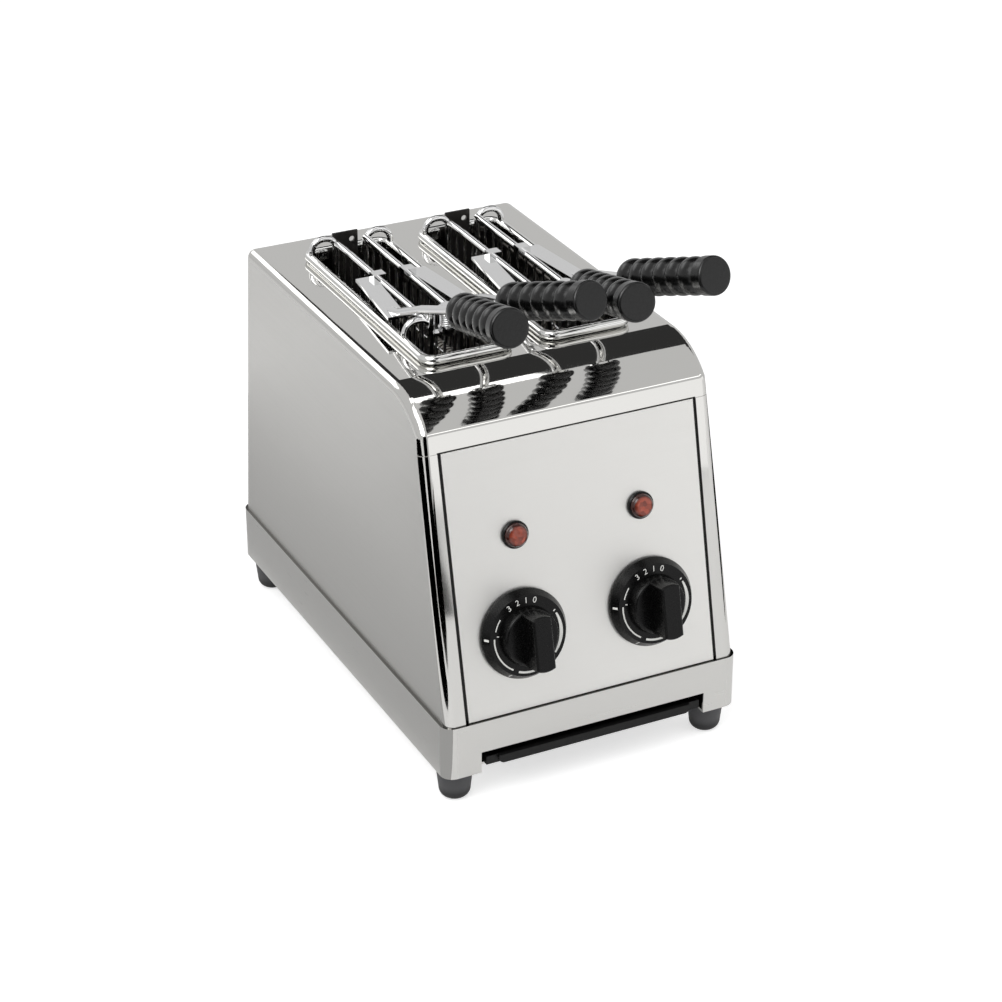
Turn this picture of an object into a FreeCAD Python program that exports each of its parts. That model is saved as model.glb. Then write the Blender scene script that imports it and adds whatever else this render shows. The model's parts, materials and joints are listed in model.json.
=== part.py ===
import FreeCAD, Part
import math
import os
import re
import Sketcher
from FreeCAD import Vector

# Two-slot clamp toaster. Millimetres. +X is to the right seen from the front, the front faces -Y,
# +Z is up and the feet stand on z = 0. The origin is on the floor in the middle of the outline.

doc = FreeCAD.newDocument("clamp_toaster")
sheet = doc.addObject("Spreadsheet::Sheet", "sizes")

SIZES = {
    # Body of sheet steel
    "body_width": 212.5,
    "body_front": 163,
    "body_rear": 182,
    "plinth_top": 61,
    "top_level": 270,
    "front_lean": 12.5,
    "rear_lean": 4,
    "side_lean": 0.9,
    "roll_start": 78,
    "roll_radius": 56,
    "edge_round": 6.3,
    "crease_margin": 0.7,
    "sheet_gauge": 1.2,
    "seam_gap": 1,
    "seam_depth": 0.6,
    # Plinth and its feet
    "plinth_step": 2,
    "plinth_bottom": 23,
    "plinth_gauge": 1.5,
    "plinth_round": 8.5,
    "plinth_return": 9,
    "strip_inner": 70,
    "notch_half": 82.5,
    "notch_top": 38.3,
    "foot_inset": 12.25,
    "foot_setback": 15,
    "foot_rear_setback": 17,
    "foot_radius": 12.5,
    "foot_toe_radius": 10.6,
    "foot_toe_round": 6.6,
    # Crumb tray
    "tray_half": 79,
    "tray_rear_gap": 30,
    "tray_depth": 6,
    "tray_gauge": 1,
    "tray_side_gap": 0.4,
    "tray_rest": 3.5,
    "tray_rest_half": 74,
    "tray_pull": 2.5,
    "tray_pull_inset": 8,
    "tray_pull_round": 4,
    "guide_depth": 10,
    # Front window, dress panel and the plate behind it
    "window_side_gap": 13.65,
    "window_head": 181.3,
    "panel_gap": 2.3,
    "panel_head_gap": 1.1,
    "panel_foot_gap": 0.5,
    "backing_foot": 2,
    "window_lap": 2.2,
    "backing_gauge": 2,
    # Timers, knobs and lamps
    "knob_across": 46.5,
    "knob_up": 52,
    "knob_radius": 30.2,
    "knob_gap": 1,
    "skirt_rim": 1.4,
    "skirt_face_radius": 27,
    "skirt_height": 8.2,
    "hub_radius": 20,
    "hub_height": 15,
    "hub_round": 2,
    "blade_width": 13.4,
    "blade_length": 34,
    "blade_end_radius": 14,
    "blade_height": 32,
    "blade_round": 1.6,
    "shaft_radius": 3,
    "shaft_grip": 10,
    "running_gap": 0.05,
    "timer_side": 44,
    "timer_depth": 34,
    "timer_bore": 24,
    "bushing_radius": 5,
    "lamp_across": 45.4,
    "lamp_up": 118,
    "lens_radius": 8,
    "lens_height": 6.4,
    "lens_round": 4,
    "bezel_radius": 9.2,
    "bezel_height": 2.4,
    "lamp_barrel_radius": 6.5,
    "lamp_barrel_length": 24,
    # Rear panel and cable gland
    "vent_side_gap": 18.25,
    "vent_foot": 8,
    "vent_head": 190,
    "louvre_length": 62,
    "louvre_height": 4,
    "louvre_pitch": 11,
    "louvre_foot": 70,
    "louvre_count": 9,
    "gland_across": 64,
    "gland_up": 30,
    "gland_flange_radius": 12,
    "gland_flange": 3,
    "gland_radius": 8.5,
    "gland_reach": 9,
    "gland_bore": 4,
    # Slots, guards and heaters
    "slot_offset": 43,
    "slot_half": 27,
    "slot_front": 65,
    "slot_rear": 127,
    "slot_round": 5,
    "collar_rise": 6.7,
    "collar_gauge": 5,
    "collar_crown": 0.4,
    "collar_flange": 5,
    "bulkhead_front": 76,
    "bulkhead_rear": 140,
    "bulkhead_side_gap": 4.75,
    "bulkhead_head_gap": 1.2,
    "reflector_side_gap": 9,
    "reflector_gauge": 0.8,
    "reflector_foot": 69,
    "reflector_head": 259,
    "guard_offset": 29.5,
    "guard_foot": 107,
    "guard_head": 260,
    "guard_rail_radius": 1.6,
    "guard_wire_radius": 1,
    "guard_wires": 13,
    "heater_radius": 5,
    "heater_foot": 93,
    "heater_pitch": 40,
    "heater_count": 4,
    # Clamp cages
    "rod_radius": 2.5,
    "wire_radius": 2.25,
    "mesh_radius": 1,
    "jaw_half": 11,
    "cage_front": 33,
    "cage_rear": 120,
    "cage_foot": 133,
    "rod_level": 282,
    "arch_level": 286.5,
    "leg_half": 29.5,
    "leg_gap": 0.1,
    "wire_bend": 8.4,
    "post_radius": 3,
    "mesh_uprights": 11,
    "mesh_rails": 3,
    "keeper_gauge": 1.6,
    "keeper_outer": 12.5,
    "keeper_inner": 6.2,
    "keeper_head": 288,
    "keeper_foot": 153,
    "keeper_hole_radius": 2,
    "keeper_hole_across": 1.8,
    # Clamp pivots
    "pin_radius": 2.5,
    "pin_foot": 273,
    "pin_head": 295,
    "pin_cap_radius": 4,
    "pin_cap": 1.2,
    "ear_radius": 6,
    "ear_gauge": 2,
    "ear_gap": 0.3,
    "lower_ear": 275,
    "upper_ear": 291,
    "pivot_setback": 35,
    "coil_radius": 4.4,
    "coil_wire_radius": 0.75,
    "coil_turns": 5,
    # Clamp arms and grips
    "saddle_bay": 6,
    "saddle_length": 8,
    "saddle_wall": 2,
    "strap_gauge": 2,
    "strap_rear_inner": 12,
    "strap_rear_outer": 25.5,
    "strap_front": 14,
    "strap_front_inner": 19.5,
    "strap_front_outer": 32.5,
    "arm_radius": 3,
    "arm_foot_across": 25,
    "arm_seat": 12,
    "arm_foot_level": 285,
    "arm_knee_across": 21.5,
    "arm_knee": 43,
    "arm_knee_level": 298,
    "arm_bend": 20,
    "grip_start_across": 16,
    "grip_start": 89,
    "grip_start_level": 314.5,
    "grip_lift": 18.1,
    "grip_stagger": 2,
    "grip_spread": 7.6,
    "grip_splay": 0.8,
    "tang_length": 62,
    "ferrule_radius": 8,
    "ferrule_gauge": 3,
    "bead_radius": 12.5,
    "bead_groove_radius": 10.2,
    "bead_pitch": 13,
    "bead_count": 6,
    "bead_arc_radius": 11,
    "grip_neck_radius": 8.5,
    "grip_neck": 5,
    "grip_cap": 9,
    "grip_cap_round": 2,
}

for row, (name, value) in enumerate(SIZES.items(), 1):
    sheet.set(f"A{row}", name)
    sheet.set(f"B{row}", str(value))
    sheet.setAlias(f"B{row}", name)
doc.recompute()


# Helpers

def bound(text):
    """The expression with each size name pointed at its cell."""
    def cell(found):
        return "sizes." + found.group() if found.group() in SIZES else found.group()
    return re.sub(r"[a-z][a-z_]+", cell, text)


def number(text):
    """The present value of an expression in the sheet's sizes."""
    return float(sheet.evalExpression(bound(text)))


def bind(thing, **texts):
    for prop, text in texts.items():
        thing.setExpression(prop, bound(text))
    return thing


def place(thing, x, y, z, yaw="0", roll="0"):
    """Moves a thing's own origin, turned by roll about X and then by yaw about Z."""
    spot = f"create(<<vector>>; {x}; {y}; {z})"
    turn = f"create(<<rotation>>; {yaw}; 0; {roll})"
    return bind(thing, Placement=f"create(<<placement>>; {spot}; {turn})")


def on_front(thing, across, up, out):
    """On the leaning front: across to the right, up its slope, out along its normal."""
    y = f"-body_front + ({up}) * sin(front_lean) - ({out}) * cos(front_lean)"
    z = f"plinth_top + ({up}) * cos(front_lean) + ({out}) * sin(front_lean)"
    return place(thing, across, y, z, roll="90 - front_lean")


def on_rear(thing, across, up, out):
    """On the leaning back, seen from behind: across to the right, up its slope, out along its normal."""
    y = f"body_rear - ({up}) * sin(rear_lean) + ({out}) * cos(rear_lean)"
    z = f"plinth_top + ({up}) * cos(rear_lean) + ({out}) * sin(rear_lean)"
    return place(thing, f"-({across})", y, z, yaw="180", roll="90 - rear_lean")


def block(name, length, width, height):
    return bind(doc.addObject("Part::Box", name), Length=length, Width=width, Height=height)


def cylinder(name, radius, height):
    return bind(doc.addObject("Part::Cylinder", name), Radius=radius, Height=height)


def upright(name, radius, x, y, low, high):
    """A round bar standing along Z."""
    return place(cylinder(name, radius, f"{high} - ({low})"), x, y, low)


def lengthwise(name, radius, x, z, front, rear):
    """A round bar lying along Y."""
    return place(cylinder(name, radius, f"{rear} - ({front})"), x, front, z, roll="-90")


def fuse(name, pieces):
    made = doc.addObject("Part::MultiFuse", name)
    made.Shapes = pieces
    made.Refine = True
    return made


def cut(name, base, tools):
    made = doc.addObject("Part::Cut", name)
    made.Base = base
    made.Tool = tools[0] if len(tools) == 1 else fuse(name + "_tools", tools)
    made.Refine = True
    return made


def plane(body, role):
    return [feature for feature in body.Origin.OriginFeatures if feature.Role == role][0]


def outline(body, name, role, corners, arcs=None):
    """A closed sketch through corners, anticlockwise. arcs maps an edge to its radius, bulging out."""
    arcs = arcs or {}
    sketch = body.newObject("Sketcher::SketchObject", name)
    sketch.AttachmentSupport = (plane(body, role), [""])
    sketch.MapMode = "FlatFace"
    spots = [Vector(number(x), number(y), 0) for x, y in corners]
    count = len(spots)
    for edge, start in enumerate(spots):
        end = spots[(edge + 1) % count]
        if edge in arcs:
            sketch.addGeometry(bulge(start, end, number(arcs[edge])), False)
        else:
            sketch.addGeometry(Part.LineSegment(start, end), False)
    for edge in range(count):
        sketch.addConstraint(Sketcher.Constraint("Coincident", edge, 2, (edge + 1) % count, 1))
    for edge, (x, y) in enumerate(corners):
        dimension(sketch, Sketcher.Constraint("DistanceX", edge, 1, spots[edge].x), x)
        dimension(sketch, Sketcher.Constraint("DistanceY", edge, 1, spots[edge].y), y)
    for edge, radius in arcs.items():
        dimension(sketch, Sketcher.Constraint("Radius", edge, number(radius)), radius)
    return sketch


def bulge(start, end, radius):
    """The anticlockwise arc under half a turn from start to end."""
    chord = end - start
    rise = math.sqrt(radius ** 2 - (chord.Length / 2) ** 2)
    centre = (start + end) / 2 + Vector(-chord.y, chord.x, 0).normalize() * rise
    first = math.atan2(start.y - centre.y, start.x - centre.x)
    last = math.atan2(end.y - centre.y, end.x - centre.x)
    return Part.ArcOfCircle(Part.Circle(centre, Vector(0, 0, 1), radius), first, last)


def dimension(sketch, constraint, text):
    index = sketch.addConstraint(constraint)
    sketch.setExpression(f"Constraints[{index}]", bound(text))


def padded(body, name, role, corners, length, arcs=None):
    """An outline padded evenly to both sides of its plane."""
    pad = body.newObject("PartDesign::Pad", name)
    pad.Profile = outline(body, name + "_outline", role, corners, arcs)
    pad.Midplane = True
    return bind(pad, Length=length)


def turned(name, corners, arcs=None):
    """A body turned about its own Z axis from radius and height corners."""
    body = doc.addObject("PartDesign::Body", name)
    sketch = outline(body, name + "_outline", "XZ_Plane", corners, arcs)
    spin = body.newObject("PartDesign::Revolution", name + "_turning")
    spin.Profile = sketch
    spin.ReferenceAxis = (sketch, ["V_Axis"])
    spin.Angle = 360
    return body


def rounded_rectangle(low, high, radius):
    """Corners and arcs of a rectangle with round corners, for outline."""
    (left, front), (right, rear) = low, high
    corners = [
        (f"{left} + {radius}", front), (f"{right} - {radius}", front),
        (right, f"{front} + {radius}"), (right, f"{rear} - {radius}"),
        (f"{right} - {radius}", rear), (f"{left} + {radius}", rear),
        (left, f"{rear} - {radius}"), (left, f"{front} + {radius}"),
    ]
    return corners, {1: radius, 3: radius, 5: radius, 7: radius}


def layer(body, kind, name, shape, low, high):
    """A pad or pocket of an outline on the level plane, between two heights."""
    corners, arcs = shape
    made = body.newObject(f"PartDesign::{kind}", name)
    made.Profile = outline(body, name + "_outline", "XY_Plane", corners, arcs)
    bind(made.Profile[0], **{"AttachmentOffset.Base.z": low if kind == "Pad" else high})
    return bind(made, Length=f"{high} - ({low})")


def add_block(body, kind, name, low, high):
    """An additive or subtractive box of a body, from its low corner to its high corner."""
    made = body.newObject(f"PartDesign::{kind}Box", name)
    spans = [f"({top}) - ({base})" for base, top in zip(low, high)]
    bind(made, Length=spans[0], Width=spans[1], Height=spans[2])
    return place(made, *low)


def rounding(body, name, base, radius, test):
    """Fillets those edges of the last feature whose edge passes the test."""
    doc.recompute()
    names = [f"Edge{n}" for n, edge in enumerate(base.Shape.Edges, 1) if test(edge)]
    made = body.newObject("PartDesign::Fillet", name)
    made.Base = (base, names)
    return bind(made, Radius=radius)


def middle(edge):
    return edge.CenterOfMass


def stands(edge):
    """True for a straight edge along Z."""
    first, last = edge.Vertexes[0].Point, edge.Vertexes[-1].Point
    return abs(abs(first.z - last.z) - edge.Length) < 0.001


def bent_rod(name, corners, bend, radius):
    """A round rod along straight runs joined by tangent arcs, placed by its own corners."""
    points = [Vector(*[number(part) for part in corner]) for corner in corners]
    turn = number(bend)
    starts = [points[0]]
    arcs = []
    for before, corner, after in zip(points, points[1:], points[2:]):
        back = (before - corner).normalize()
        ahead = (after - corner).normalize()
        half = back.getAngle(ahead) / 2
        reach = turn / math.tan(half)
        crown = corner + (back + ahead).normalize() * (turn / math.sin(half) - turn)
        arcs.append(Part.Arc(corner + back * reach, crown, corner + ahead * reach))
        starts.append(corner + ahead * reach)
    edges = []
    for start, arc in zip(starts, arcs):
        edges.append(Part.LineSegment(start, arc.StartPoint).toShape())
        edges.append(arc.toShape())
    edges.append(Part.LineSegment(starts[-1], points[-1]).toShape())
    section = Part.Wire(Part.makeCircle(number(radius), points[0], points[1] - points[0]))
    made = doc.addObject("Part::Feature", name)
    made.Shape = Part.Wire(edges).makePipeShell([section], True, False)
    return made


# Body outlines shared by the shell and what lies inside it

BODY_HEIGHT = "(top_level - plinth_top)"
REAR_HEAD = f"(body_rear - {BODY_HEIGHT} * tan(rear_lean))"
SIDE_TAPER = f"({BODY_HEIGHT} * tan(side_lean))"
ROLL_DEPTH = "(body_front - roll_start)"
ROLL_RISE = f"({BODY_HEIGHT} - roll_radius)"
ROLL_ALONG = f"({ROLL_DEPTH} * sin(front_lean) + {ROLL_RISE} * cos(front_lean))"
ROLL_ASIDE = f"({ROLL_DEPTH} * cos(front_lean) - {ROLL_RISE} * sin(front_lean))"
CREASE = f"({ROLL_ALONG} + sqrt(roll_radius^2 - {ROLL_ASIDE}^2))"
CREASE_Y = f"(-body_front + {CREASE} * sin(front_lean))"
CREASE_Z = f"(plinth_top + {CREASE} * cos(front_lean))"
UNDER_SHEET = "(top_level - sheet_gauge)"
TOP_HALF = f"(body_width / 2 - {SIDE_TAPER})"
WINDOW_HALF = "(body_width / 2 - window_side_gap)"
VENT_HALF = "(body_width / 2 - vent_side_gap)"
SIDES = {"left": "-1", "right": "1"}


# Outer shell: front flange, rolled top and both sides in one folded sheet

shell = doc.addObject("PartDesign::Body", "shell_form")
profile = [
    ("-body_front", "plinth_top"),
    ("body_rear", "plinth_top"),
    (REAR_HEAD, "top_level"),
    ("-roll_start", "top_level"),
    (CREASE_Y, CREASE_Z),
]
shell_pad = padded(shell, "shell_side_view", "YZ_Plane", profile, "body_width", {3: "roll_radius"})
for side, sign in SIDES.items():
    foot = f"{sign} * body_width / 2"
    head = f"{sign} * {TOP_HALF}"
    outside = f"{sign} * body_width"
    wedge = [(foot, "plinth_top"), (outside, "plinth_top"), (outside, "top_level"), (head, "top_level")]
    taper = shell.newObject("PartDesign::Pocket", f"shell_taper_{side}")
    taper.Profile = outline(shell, f"shell_wedge_{side}", "XZ_Plane", wedge if sign == "1" else wedge[::-1])
    taper.Type = "ThroughAll"
    taper.Midplane = True

crease_y = number(CREASE_Y)
rear_head = number(REAR_HEAD)
plinth_top = number("plinth_top")


def is_crease(edge):
    first, last = edge.Vertexes[0].Point, edge.Vertexes[-1].Point
    near = min(abs(first.y - crease_y), abs(first.y - rear_head)) < 0.01
    return near and abs(first.x + last.x) < 0.01 and first.z > plinth_top + 1


def is_side_chain(edge):
    first, last = edge.Vertexes[0].Point, edge.Vertexes[-1].Point
    return first.x * last.x > 0 and middle(edge).z > plinth_top + 1


creases = rounding(shell, "shell_creases", taper, "edge_round + crease_margin", is_crease)
chains = rounding(shell, "shell_long_edges", creases, "edge_round", is_side_chain)
doc.recompute()
floor_face = [f"Face{n}" for n, face in enumerate(chains.Shape.Faces, 1)
              if abs(face.CenterOfMass.z - plinth_top) < 0.01]
hollow = shell.newObject("PartDesign::Thickness", "shell_hollow")
hollow.Base = (chains, floor_face)
hollow.Reversed = True
bind(hollow, Value="sheet_gauge")

openings = [on_front(block("front_window", f"2 * {WINDOW_HALF}", "window_head + window_lap",
                           "8 * sheet_gauge"), f"-{WINDOW_HALF}", "-window_lap", "-4 * sheet_gauge"),
            on_rear(block("rear_window", f"2 * {VENT_HALF}", "vent_head - vent_foot", "8 * sheet_gauge"),
                    f"-{VENT_HALF}", "vent_foot", "-4 * sheet_gauge")]
for side, sign in SIDES.items():
    hole = doc.addObject("PartDesign::Body", f"slot_hole_{side}")
    centre = f"{sign} * slot_offset"
    reach = "(slot_half + collar_gauge)"
    rectangle = rounded_rectangle((f"({centre} - {reach})", "(-slot_front - collar_gauge)"),
                                  (f"({centre} + {reach})", "(slot_rear + collar_gauge)"),
                                  "(slot_round + collar_gauge)")
    layer(hole, "Pad", f"slot_hole_form_{side}", rectangle,
          "top_level - 5 * sheet_gauge", "top_level + sheet_gauge")
    openings.append(hole)

# The seam under the band of the roll is a groove that runs on round both corners
seam_half = "(body_width / 2 - window_head * cos(front_lean) * tan(side_lean))"
seam_reach = "(edge_round + sheet_gauge)"
core_round = "(edge_round - seam_depth)"
core_half = f"({seam_half} - seam_depth)"
seam_slab = doc.addObject("PartDesign::Body", "seam_slab")
padded(seam_slab, "seam_slab_form", "XZ_Plane", [
    ("-body_width", "-edge_round"), ("body_width", "-edge_round"),
    ("body_width", "sheet_gauge"), ("-body_width", "sheet_gauge")], "seam_gap")
seam_core = doc.addObject("PartDesign::Body", "seam_core")
padded(seam_core, "seam_core_form", "XZ_Plane", [
    (f"-{core_half}", f"-{seam_reach}"), (core_half, f"-{seam_reach}"),
    (core_half, "-edge_round"), (f"{core_half} - {core_round}", "-seam_depth"),
    (f"{core_round} - {core_half}", "-seam_depth"), (f"-{core_half}", "-edge_round")],
       "2 * seam_gap", {2: core_round, 4: core_round})
seam = cut("seam_groove", seam_slab, [seam_core])
on_front(seam, "0", "window_head - seam_gap / 2", "0")
cut("outer_shell", shell, openings + [seam])


# Front: a dark backing plate behind the window and the dress panel set into it with a shadow gap

def front_holes(piece):
    """Shaft holes of both timers and both lamp holes, right through the front plates."""
    holes = []
    for side, sign in SIDES.items():
        for use, across, up, bore in (("timer", "knob_across", "knob_up", "bushing_radius"),
                                      ("lamp", "lamp_across", "lamp_up", "lamp_barrel_radius")):
            hole = cylinder(f"{piece}_{use}_hole_{side}", f"{bore} + running_gap", "8 * backing_gauge")
            holes.append(on_front(hole, f"{sign} * {across}", up, "-4 * backing_gauge"))
    return holes


backing = block("front_backing_sheet", f"2 * ({WINDOW_HALF} + window_lap)",
                "window_head + window_lap / 2 - backing_foot", "backing_gauge")
on_front(backing, f"-{WINDOW_HALF} - window_lap", "backing_foot", "-sheet_gauge - backing_gauge")
cut("front_backing", backing, front_holes("front_backing"))

dress = block("front_panel_sheet", f"2 * ({WINDOW_HALF} - panel_gap)",
              "window_head - panel_head_gap - panel_foot_gap", "sheet_gauge")
on_front(dress, f"-{WINDOW_HALF} + panel_gap", "panel_foot_gap", "-sheet_gauge")
cut("front_panel", dress, front_holes("front_panel"))


# Timers behind the front, each with its shaft and knob

for side, sign in SIDES.items():
    across = f"{sign} * knob_across"
    case = block(f"timer_case_{side}", "timer_side", "timer_side", "timer_depth")
    behind = "-sheet_gauge - backing_gauge - timer_depth"
    on_front(case, f"{across} - timer_side / 2", "knob_up - timer_side / 2", behind)
    bushing = cylinder(f"timer_bushing_{side}", "bushing_radius",
                       "sheet_gauge + backing_gauge + timer_depth / 2")
    on_front(bushing, across, "knob_up", "-sheet_gauge - backing_gauge - timer_depth / 2")
    bore = cylinder(f"timer_shaft_bore_{side}", "shaft_radius + running_gap", "timer_bore + timer_depth")
    on_front(bore, across, "knob_up", "-sheet_gauge - backing_gauge - timer_bore")
    cut(f"timer_{side}", fuse(f"timer_block_{side}", [case, bushing]), [bore])

    shaft = cylinder(f"timer_shaft_{side}", "shaft_radius",
                     "timer_bore - running_gap + sheet_gauge + backing_gauge + knob_gap + shaft_grip")
    on_front(shaft, across, "knob_up", "-sheet_gauge - backing_gauge - timer_bore + running_gap")

    socket = "knob_gap + shaft_grip"
    knob = turned(f"knob_{side}", [
        ("shaft_radius", "knob_gap"),
        ("knob_radius", "knob_gap"),
        ("knob_radius", "knob_gap + skirt_rim"),
        ("skirt_face_radius", "skirt_height"),
        ("hub_radius", "skirt_height"),
        ("hub_radius - hub_round / 2", "hub_height - hub_round"),
        ("hub_radius - hub_round * 1.5", "hub_height"),
        ("0", "hub_height"),
        ("0", socket),
        ("shaft_radius", socket),
    ], {5: "hub_round"})
    blade = knob.newObject("PartDesign::Pad", f"knob_blade_{side}")
    blade.Profile = outline(knob, f"knob_blade_outline_{side}", "XY_Plane", [
        ("-blade_width / 2", "-blade_length / 2"),
        ("blade_width / 2", "-blade_length / 2"),
        ("blade_width / 2", "blade_length / 2"),
        ("-blade_width / 2", "blade_length / 2"),
    ], {0: "blade_end_radius", 2: "blade_end_radius"})
    bind(blade.Profile[0], **{"AttachmentOffset.Base.z": "hub_height - hub_round"})
    bind(blade, Length="blade_height - hub_height + hub_round")
    blade_top = number("blade_height")
    rounding(knob, f"knob_blade_edges_{side}", blade, "blade_round",
             lambda edge: abs(middle(edge).z - blade_top) < 0.01)
    on_front(knob, across, "knob_up", "0")


# Signal lamps: black bezel with its barrel, red lens

for side, sign in SIDES.items():
    bezel = turned(f"lamp_bezel_{side}", [
        ("0", "-lamp_barrel_length"),
        ("lamp_barrel_radius", "-lamp_barrel_length"),
        ("lamp_barrel_radius", "0"),
        ("bezel_radius", "0"),
        ("bezel_radius", "bezel_height - (bezel_radius - lens_radius) / 2"),
        ("(bezel_radius + lens_radius) / 2", "bezel_height"),
        ("lens_radius", "bezel_height"),
        ("lens_radius", "bezel_height / 2"),
        ("0", "bezel_height / 2"),
    ])
    on_front(bezel, f"{sign} * lamp_across", "lamp_up", "0")
    lens = turned(f"lamp_lens_{side}", [
        ("0", "bezel_height / 2"),
        ("lens_radius", "bezel_height / 2"),
        ("lens_radius", "lens_height - lens_round"),
        ("lens_radius - lens_round", "lens_height"),
        ("0", "lens_height"),
    ], {2: "lens_round"})
    on_front(lens, f"{sign} * lamp_across", "lamp_up", "0")


# Rear panel with two columns of louvre slits, and the empty cable gland

rear_sheet = block("rear_panel_sheet", f"2 * ({VENT_HALF} + window_lap)",
                   "vent_head - vent_foot + 2 * window_lap", "sheet_gauge")
on_rear(rear_sheet, f"-{VENT_HALF} - window_lap", "vent_foot - window_lap", "-2 * sheet_gauge")
rear_cuts = [on_rear(cylinder("gland_hole", "gland_radius + running_gap", "8 * sheet_gauge"),
                     "gland_across", "gland_up", "-4 * sheet_gauge")]
for side, sign in SIDES.items():
    for row in range(int(number("louvre_count"))):
        slit = block(f"louvre_{side}_{row}", "louvre_length", "louvre_height", "8 * sheet_gauge")
        across = f"{sign} * {VENT_HALF} / 2 - louvre_length / 2"
        rear_cuts.append(on_rear(slit, across, f"louvre_foot + {row} * louvre_pitch", "-4 * sheet_gauge"))
cut("rear_panel", rear_sheet, rear_cuts)

gland = turned("cable_gland", [
    ("gland_bore", "-2 * sheet_gauge - gland_flange"),
    ("gland_radius", "-2 * sheet_gauge - gland_flange"),
    ("gland_radius", "-sheet_gauge"),
    ("gland_flange_radius", "-sheet_gauge"),
    ("gland_flange_radius", "gland_flange - sheet_gauge"),
    ("gland_radius", "gland_flange - sheet_gauge"),
    ("gland_radius", "gland_reach - gland_flange"),
    ("gland_radius - gland_flange", "gland_reach"),
    ("gland_bore", "gland_reach"),
], {6: "gland_flange"})
on_rear(gland, "gland_across", "gland_up", "0")


# Plinth: walls with a return under the body, bottom strips that carry the feet and the tray guides

PLINTH_HALF = "(body_width / 2 + plinth_step)"
PLINTH_FRONT = "(-body_front - plinth_step)"
PLINTH_REAR = "(body_rear + plinth_step)"
STRIP_TOP = "(plinth_bottom + plinth_gauge)"
TRAY_REAR = "(body_rear - tray_rear_gap)"
TRAY_FLOOR = f"({STRIP_TOP} + tray_rest)"
TRAY_TOP = f"({TRAY_FLOOR} + tray_depth)"
plinth = doc.addObject("PartDesign::Body", "plinth")
plinth_block = add_block(plinth, "Additive", "plinth_block",
                         (f"-{PLINTH_HALF}", PLINTH_FRONT, "plinth_bottom"),
                         (PLINTH_HALF, PLINTH_REAR, "plinth_top"))
rounding(plinth, "plinth_corners", plinth_block, "plinth_round", stands)
layer(plinth, "Pocket", "plinth_inside",
      rounded_rectangle((f"(plinth_gauge - {PLINTH_HALF})", f"({PLINTH_FRONT} + plinth_gauge)"),
                        (f"({PLINTH_HALF} - plinth_gauge)", f"({PLINTH_REAR} - plinth_gauge)"),
                        "(plinth_round - plinth_gauge)"), STRIP_TOP, "(plinth_top - plinth_gauge)")
add_block(plinth, "Subtractive", "plinth_mouth",
          (f"plinth_return - {PLINTH_HALF}", f"{PLINTH_FRONT} + plinth_return", STRIP_TOP),
          (f"{PLINTH_HALF} - plinth_return", f"{PLINTH_REAR} - plinth_return", "plinth_top"))
add_block(plinth, "Subtractive", "plinth_floor_opening",
          ("-strip_inner", PLINTH_FRONT, "plinth_bottom"),
          ("strip_inner", f"{PLINTH_REAR} - plinth_return", STRIP_TOP))
add_block(plinth, "Subtractive", "plinth_notch",
          ("-notch_half", PLINTH_FRONT, "plinth_bottom"),
          ("notch_half", f"{PLINTH_FRONT} + plinth_return", "notch_top"))
guide_depth_top = f"{STRIP_TOP} + guide_depth"
for side, sign in SIDES.items():
    inner = "tray_half + tray_side_gap"
    outer = "tray_half + tray_side_gap + plinth_gauge"
    low = inner if sign == "1" else f"-({outer})"
    high = outer if sign == "1" else f"-({inner})"
    add_block(plinth, "Additive", f"tray_guide_{side}",
              (low, f"{PLINTH_FRONT} + 2 * plinth_return", STRIP_TOP),
              (high, TRAY_REAR, guide_depth_top))
    low = "tray_rest_half" if sign == "1" else "-tray_half"
    high = "tray_half" if sign == "1" else "-tray_rest_half"
    add_block(plinth, "Additive", f"tray_ledge_{side}",
              (low, f"{PLINTH_FRONT} + 2 * plinth_return", STRIP_TOP), (high, TRAY_REAR, TRAY_FLOOR))

# Feet

for end, y in (("front", "-body_front + foot_setback"), ("rear", "body_rear - foot_rear_setback")):
    for side, sign in SIDES.items():
        foot = turned(f"foot_{end}_{side}", [
            ("0", "0"),
            ("foot_toe_radius - foot_toe_round", "0"),
            ("foot_toe_radius", "foot_toe_round"),
            ("foot_radius", "plinth_bottom"),
            ("0", "plinth_bottom"),
        ], {1: "foot_toe_round"})
        place(foot, f"{sign} * (body_width / 2 - foot_inset)", y, "0")


# Crumb tray, folded from sheet with a pull along its front edge

tray = doc.addObject("PartDesign::Body", "crumb_tray")
add_block(tray, "Additive", "tray_block",
          ("-tray_half", PLINTH_FRONT, TRAY_FLOOR), ("tray_half", TRAY_REAR, TRAY_TOP))
add_block(tray, "Subtractive", "tray_inside",
          ("tray_gauge - tray_half", f"{PLINTH_FRONT} + tray_gauge", f"{TRAY_FLOOR} + tray_gauge"),
          ("tray_half - tray_gauge", f"{TRAY_REAR} - tray_gauge", TRAY_TOP))
tray_pull = add_block(tray, "Additive", "tray_pull_bar",
                      ("tray_pull_inset - tray_half", f"{PLINTH_FRONT} - tray_pull", TRAY_FLOOR),
                      ("tray_half - tray_pull_inset", PLINTH_FRONT, TRAY_TOP))
pull_middle = number(f"{PLINTH_FRONT} - tray_pull / 2")
pull_end = number("tray_half - tray_pull_inset")
pull_foot = number(TRAY_FLOOR)


def is_pull_corner(edge):
    spot = middle(edge)
    at_end = abs(abs(spot.x) - pull_end) < 0.01 and abs(spot.z - pull_foot) < 0.01
    return at_end and abs(spot.y - pull_middle) < 0.01


rounding(tray, "tray_pull_corners", tray_pull, "tray_pull_round", is_pull_corner)


# Inside: bulkheads, reflectors, wire guards beside each slot and the heater tubes

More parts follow.
